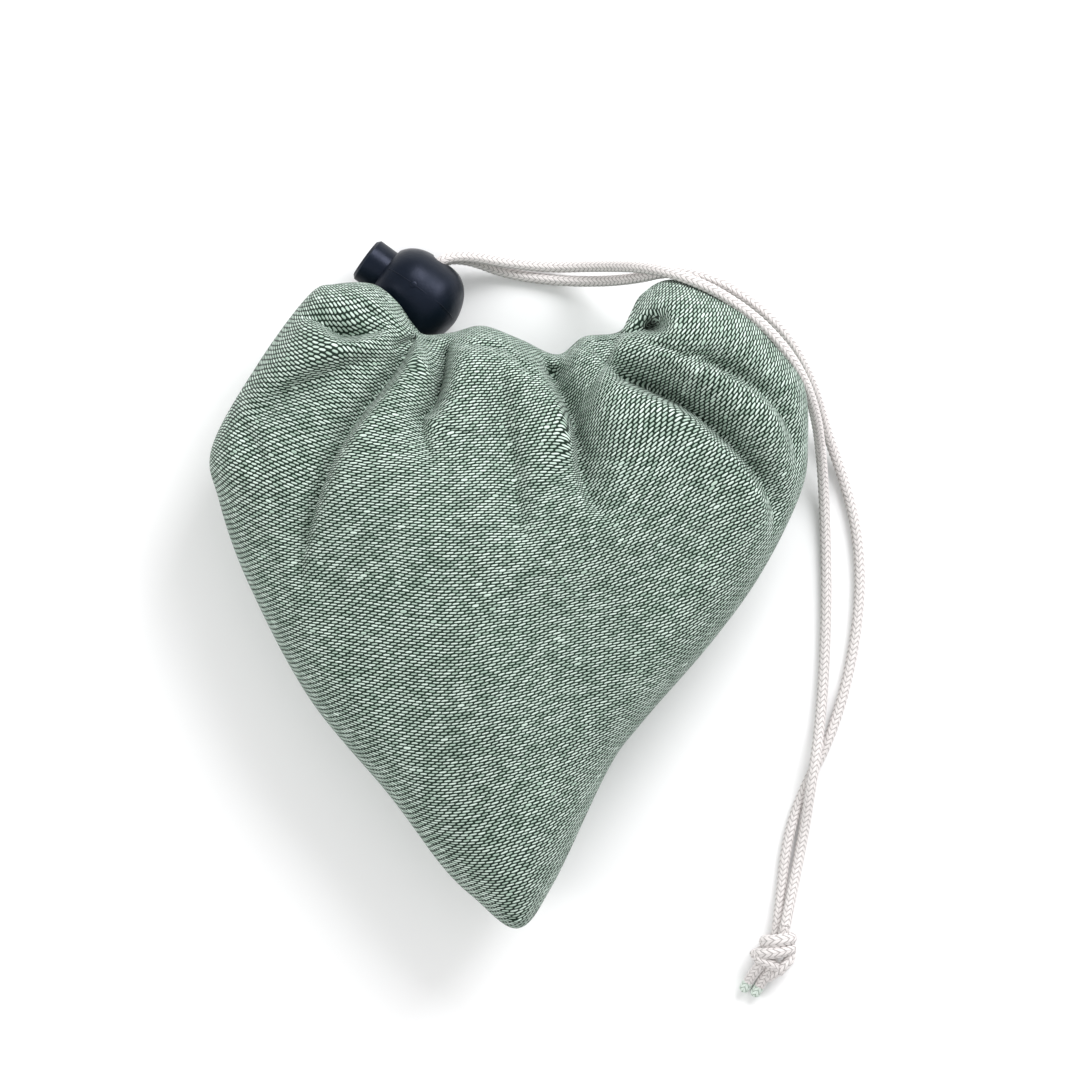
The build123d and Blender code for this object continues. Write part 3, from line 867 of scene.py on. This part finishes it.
def cord_mesh(name, points, sides=24, step=0.3, radius=CORD_R, tight_end=False):
    """A braided cord along a route, its line and length. tight_end rounds off its last millimetre."""
    line, length = spline_points(points, step)
    tangent = np.gradient(line, axis=0)
    tangent /= np.linalg.norm(tangent, axis=1)[:, None]
    side = np.cross(tangent[0], (0, 0, 1.0))
    frames = []
    for t in tangent:
        side = side - t * side.dot(t)
        side /= np.linalg.norm(side)
        frames.append(side)
    side = np.array(frames)
    other = np.cross(tangent, side)
    count = len(line)
    run = np.linspace(0, length, count)
    angle = np.linspace(0, 2 * math.pi, sides, endpoint=False)
    chevron = np.abs((angle / (2 * math.pi) * COLUMNS) % 1 - 0.5) * 2
    phase = run[:, None] / STITCH + SLANT * chevron[None]
    relief = 0.07 * np.cos(2 * math.pi * phase) - 0.05 * np.cos(2 * math.pi * chevron)[None]
    r = radius - 0.09 + relief
    if tight_end:
        left = np.clip((length - run) / (radius * 0.9), 0.02, 1)
        r = r * np.sqrt(1 - (1 - left) ** 2)[:, None]
    round_side = np.cos(angle)[None, :, None] * side[:, None]
    round_other = np.sin(angle)[None, :, None] * other[:, None]
    verts = (line[:, None] + r[..., None] * (round_side + round_other)).reshape(-1, 3)
    i, j = np.meshgrid(np.arange(count - 1), np.arange(sides), indexing="ij")
    k = (j + 1) % sides
    quads = np.stack(
        (i * sides + j, i * sides + k, (i + 1) * sides + k, (i + 1) * sides + j), -1
    ).reshape(-1, 4)
    s0, s1 = run[i] / STITCH, run[i + 1] / STITCH
    a, b = j / sides, (j + 1) / sides
    uvs = np.stack(
        (np.stack((s0, a), -1), np.stack((s0, b), -1), np.stack((s1, b), -1), np.stack((s1, a), -1)), 2
    ).reshape(-1, 2)
    caps = [list(range(sides))[::-1], [(count - 1) * sides + n for n in range(sides)]]
    cap_uvs = [(0, n / sides) for n in range(sides)][::-1] + [
        (run[-1] / STITCH, n / sides) for n in range(sides)
    ]
    made = mesh_object(name, verts, quads.tolist() + caps, cotton, np.vstack((uvs, cap_uvs)))
    if tight_end:
        made.data.materials.append(cotton_end)
        at = np.repeat(run[:-1], sides) > length - 3.2
        made.data.polygons.foreach_set("material_index", np.concatenate((at.astype(np.int32), (0, 1))))
    return made, line, length


hole_high = HOLE + Vector((0, 0, 1.4))
hole_low = HOLE - Vector((0, 0, 1.4))
STRAND_A = [
    hole_high + LOCK_OUT * 3.5, hole_high + LOCK_OUT * 9.4, (-10.2, 80.4, 8.8), (-1.2, 78.8, 4.6),
    (9.5, 77.9, 1.7), (20.0, 77.9, 7.0), (30.0, 77.0, 20.0), (38.5, 74.8, 27.2), (48.3, 70.4, 27.4),
    (57.9, 63.4, 26.9), (65.4, 54.3, 25.2), (69.9, 44.6, 17.0), (72.2, 33.0, 5.0), (73.1, 19.3, 1.4),
    (73.5, 3.4, 1.4), (73.0, -13.5, 1.4), (72.0, -27.0, 2.2), (70.7, -36.0, 4.8), (69.5, -43.0, 4.6),
    (68.5, -51.0, 1.9), (67.2, -58.0, 1.5), (65.4, -66.5, 3.4), (63.6, -74.5, 5.8),
]
STRAND_B = [
    hole_low + LOCK_OUT * 3.5, hole_low + LOCK_OUT * 9.4, (-10.2, 79.9, 5.8), (-1.0, 76.6, 1.5),
    (9.5, 75.0, 1.4), (20.5, 74.4, 5.5), (29.5, 74.6, 16.0), (36.5, 75.9, 23.6), (46.8, 73.9, 24.6),
    (56.0, 68.2, 24.0), (63.8, 60.6, 20.5), (69.6, 50.6, 13.0), (73.0, 40.5, 4.6), (77.2, 29.6, 1.4),
    (80.4, 18.0, 1.4), (81.4, 5.0, 1.4), (80.2, -8.0, 1.4), (77.5, -21.0, 1.4), (73.8, -32.0, 1.4),
    (69.4, -40.5, 1.4), (65.9, -49.0, 1.4), (63.9, -57.5, 1.4), (63.0, -66.5, 1.4), (62.0, -74.5, 2.9),
]
TAIL_A = [(60.8, -81.0, 5.2), (60.6, -83.4, 5.4), (58.9, -86.4, 3.2), (57.6, -89.0, 1.7), (56.4, -91.0, 1.45)]
TAIL_B = [(60.2, -80.4, 4.6), (58.6, -82.6, 6.0), (56.6, -85.0, 4.2), (55.3, -87.4, 2.0), (53.9, -89.9, 1.45)]


def loop_round(centre, half_width, half_height, tilt, slope, turns=1.12, start=-0.5):
    """Points of a wrap of the knot: an upright ring round both strands, tilted in plan and leaning."""
    points = []
    for n in range(15):
        a = 2 * math.pi * (start + turns * n / 14)
        across, up = half_width * math.cos(a), half_height * math.sin(a)
        points.append((
            centre[0] + across * math.cos(tilt),
            centre[1] + across * math.sin(tilt) + slope * up,
            centre[2] + up,
        ))
    return points


KNOT_PARTS = [
    # the last of both strands, inside the wraps
    ([(63.65, -74.2, 5.8), (63.3, -76.0, 5.5), (62.5, -78.5, 4.8), (61.8, -80.5, 4.4)], 1.28),
    ([(62.05, -74.2, 2.85), (61.8, -76.0, 3.1), (61.4, -78.5, 3.6), (61.0, -80.5, 4.0)], 1.28),
    (loop_round((62.0, -77.6, 4.7), 3.0, 3.1, math.radians(7), 0.05), 1.55),
    (loop_round((61.3, -80.1, 4.6), 3.7, 3.0, math.radians(9), -0.02), 1.5),
    # the straps that lock the wraps, and turn into the tails
    (
        [(65.0, -79.4, 4.0), (65.0, -81.6, 5.0), (63.4, -83.6, 5.6), (61.4, -85.2, 4.6), (59.6, -86.4, 3.0)],
        1.35,
    ),
    (
        [(56.6, -80.6, 4.0), (57.4, -82.0, 6.2), (59.6, -82.6, 7.0), (61.6, -83.6, 6.0), (62.6, -85.0, 3.4)],
        1.25,
    ),
]


def joined(name, objects):
    """Several mesh objects made into one."""
    bpy.ops.object.select_all(action="DESELECT")
    for o in objects:
        o.select_set(True)
    bpy.context.view_layer.objects.active = objects[0]
    bpy.ops.object.join()
    objects[0].name = name
    return objects[0]


knot = joined(
    "knot",
    [cord_mesh(f"knot_{n}", points, radius=radius)[0] for n, (points, radius) in enumerate(KNOT_PARTS)],
)
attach(knot, "pouch")
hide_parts("cord_knot")
for letter, points in (("a", TAIL_A), ("b", TAIL_B)):
    tail = cord_mesh(f"tail_{letter}", points, tight_end=True)[0]
    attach(tail, "pouch")
    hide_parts(f"cord_tail_{letter}")
for letter, points in (("a", STRAND_A), ("b", STRAND_B)):
    strand, line, length = cord_mesh(f"strand_{letter}", points)
    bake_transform(strand)
    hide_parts(f"cord_strand_{letter}")

# The drawstring inside the hem, hidden by the cloth: out of the lock, round the two hem channels and back
HEM_FRONT = [(22.0, 52.0), (10.5, 49.0), (-5.0, 52.5), (-20.0, 50.0)]
loop_route = [hole_high + LOCK_OUT * 3.5, hole_high - LOCK_OUT * 13, (-36.0, 50.5, 17.0), (-31.0, 43.6, 20.6)]
loop_route += [(x, y, 22.6) for x, y in HEM_FRONT[::-1]] + [(31.0, 54.5, 22.0), (31.0, 54.5, 16.5)]
loop_route += [(x, y, 16.0) for x, y in HEM_FRONT] + [(-31.0, 43.4, 14.0), (-36.0, 50.0, 12.4)]
loop_route += [hole_low - LOCK_OUT * 13, hole_low + LOCK_OUT * 3.5]
loop = cord_mesh("hem_drawstring", loop_route, sides=16, step=0.5)[0]
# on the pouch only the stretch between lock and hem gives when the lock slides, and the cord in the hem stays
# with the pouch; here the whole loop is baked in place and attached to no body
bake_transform(loop)
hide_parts("drawstring_loop")


def hem_channel(name, height, material, sides=24, outer=2.4, bore=1.75):
    """A tube of cloth round the drawstring in the hem."""
    line = spline_points([(x, y, height) for x, y in HEM_FRONT], 0.6)[0]
    angle = np.linspace(0, 2 * math.pi, sides, endpoint=False)
    tangent = np.gradient(line, axis=0)
    tangent /= np.linalg.norm(tangent, axis=1)[:, None]
    side, up = np.cross(tangent, (0, 0, 1.0)), np.array((0, 0, 1.0))
    shape = outer * (np.cos(angle)[None, :, None] * side[:, None] + np.sin(angle)[None, :, None] * up)
    inside = line[:, None] + shape * (bore / outer)
    verts = np.vstack(((line[:, None] + shape).reshape(-1, 3), inside.reshape(-1, 3)))
    half = len(line) * sides
    faces = []
    for i in range(len(line) - 1):
        for j in range(sides):
            k = (j + 1) % sides
            a = (i * sides + j, i * sides + k, (i + 1) * sides + k, (i + 1) * sides + j)
            faces += [a, tuple(half + n for n in a[::-1])]
    last = half - sides
    for j in range(sides):
        k = (j + 1) % sides
        faces += [(k, j, half + j, half + k), (last + j, last + k, half + last + k, half + last + j)]
    uvs = (verts[np.concatenate([np.asarray(f) for f in faces])][:, :2]) * MM
    return mesh_object(name, verts, faces, material, uvs)


lining = plain_cloth("hem_lining", rgb(120, 142, 126), 0.8)
for name, height in (("front_casing", 22.6), ("back_casing", 16.0)):
    channel = hem_channel(name + "_cloth", height, lining)
    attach(channel, "pouch")
    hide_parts(name)

# --------------------------------------------------------------------------------------------
# Cord lock
# --------------------------------------------------------------------------------------------
def plastic_material():
    s = Shader("lock_plastic", Roughness=0.34, Specular_IOR_Level=0.26, Specular_Tint=rgb(214, 222, 255))
    place = s.tree.nodes.new("ShaderNodeTexCoord").outputs["Object"]
    cloud = s.noise(place, 180.0, 4.0, 0.6)
    fine = s.noise(place, 1400.0, 3.0, 0.6)
    s.put(s.bsdf.inputs["Base Color"], s.mix(cloud, rgb(2, 8, 16), rgb(6, 17, 29)))
    s.put(s.bsdf.inputs["Roughness"], s.smooth(cloud, 0.3, 0.7, 0.32, 0.46))
    s.put(s.bsdf.inputs["Normal"], s.bump(s.math("ADD", s.math("MULTIPLY", fine, 0.4), cloud), 0.12, 0.0006))
    return s.material


plastic = plastic_material()
for name in ("lock_barrel", "lock_button"):
    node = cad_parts[name]
    node.data.materials.clear()
    node.data.materials.append(plastic)
steel = Shader("spring_steel", Base_Color=rgb(190, 192, 196), Metallic=1.0, Roughness=0.3).material


def on_lock(t, radius, lean):
    """A point on the lock: t along it from the button's face, lean in degrees from up to the hole."""
    a = math.radians(lean)
    return BUTTON_FACE + LOCK_AXIS * t + (LOCK_OUT * math.sin(a) + Vector((0, 0, math.cos(a)))) * radius


def tube(name, line, radii, sides, material):
    """A smooth tube along a line, with a radius for each of its points."""
    line = np.asarray([tuple(p) for p in line], float)
    tangent = np.gradient(line, axis=0)
    tangent /= np.linalg.norm(tangent, axis=1)[:, None]
    side = np.cross(tangent[0], (0.3, 0.2, 1.0))
    rows = []
    for p, t, r in zip(line, tangent, radii):
        side = side - t * side.dot(t)
        side /= np.linalg.norm(side)
        other = np.cross(t, side)
        rows.append([
            p + r * (math.cos(a) * side + math.sin(a) * other)
            for a in np.linspace(0, 2 * math.pi, sides, endpoint=False)
        ])
    verts = np.array(rows).reshape(-1, 3)
    faces = []
    for i in range(len(line) - 1):
        for j in range(sides):
            k = (j + 1) % sides
            faces.append((i * sides + j, i * sides + k, (i + 1) * sides + k, (i + 1) * sides + j))
    faces += [tuple(range(sides))[::-1], tuple((len(line) - 1) * sides + n for n in range(sides))]
    return mesh_object(name, verts, faces, material)


# the mould's parting line, a fine ridge along the top of the barrel, and the gate mark on it
profile = catmull(LOCK_PROFILE[2:], per=8)
ridge_line = [on_lock(t, r - 0.02, 8.0) for t, r in profile if 6.2 < t < 25.0]
ridge = tube("parting_ridge", ridge_line, [0.14] * len(ridge_line), 8, plastic)
gate = tube(
    "gate_mark", [on_lock(13.0, r, 8.0) for r in (9.2, 9.86, 9.98, 10.0)], [0.9, 0.9, 0.75, 0.3], 16, plastic
)
for piece in (ridge, gate):
    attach(piece, "cord_lock")

# the return spring: its first and last quarter turn lie flat
spring_foot = BUTTON_FACE + LOCK_AXIS * 16.1
spring_points = []
for n in range(181):
    a = 2 * math.pi * 4.5 * n / 180
    lift = 5.1 * np.clip((n / 180 * 4.5 - 0.25) / 4.0, 0, 1)
    spring_points.append(
        spring_foot + LOCK_AXIS * lift + (LOCK_OUT * math.cos(a) + Vector((0, 0, math.sin(a)))) * 2.9
    )
spring = tube("return_spring", spring_points, [0.25] * 181, 10, steel)
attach(spring, "cord_lock")
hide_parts("lock_spring")
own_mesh(spring)

# --------------------------------------------------------------------------------------------
# Floor
# --------------------------------------------------------------------------------------------
paper = Shader("paper", Base_Color=rgb(249, 249, 249), Roughness=0.9)
floor = mesh_object(
    "floor", [(-3000, -3000, 0), (3000, -3000, 0), (3000, 3000, 0), (-3000, 3000, 0)], [(0, 1, 2, 3)],
    paper.material,
)
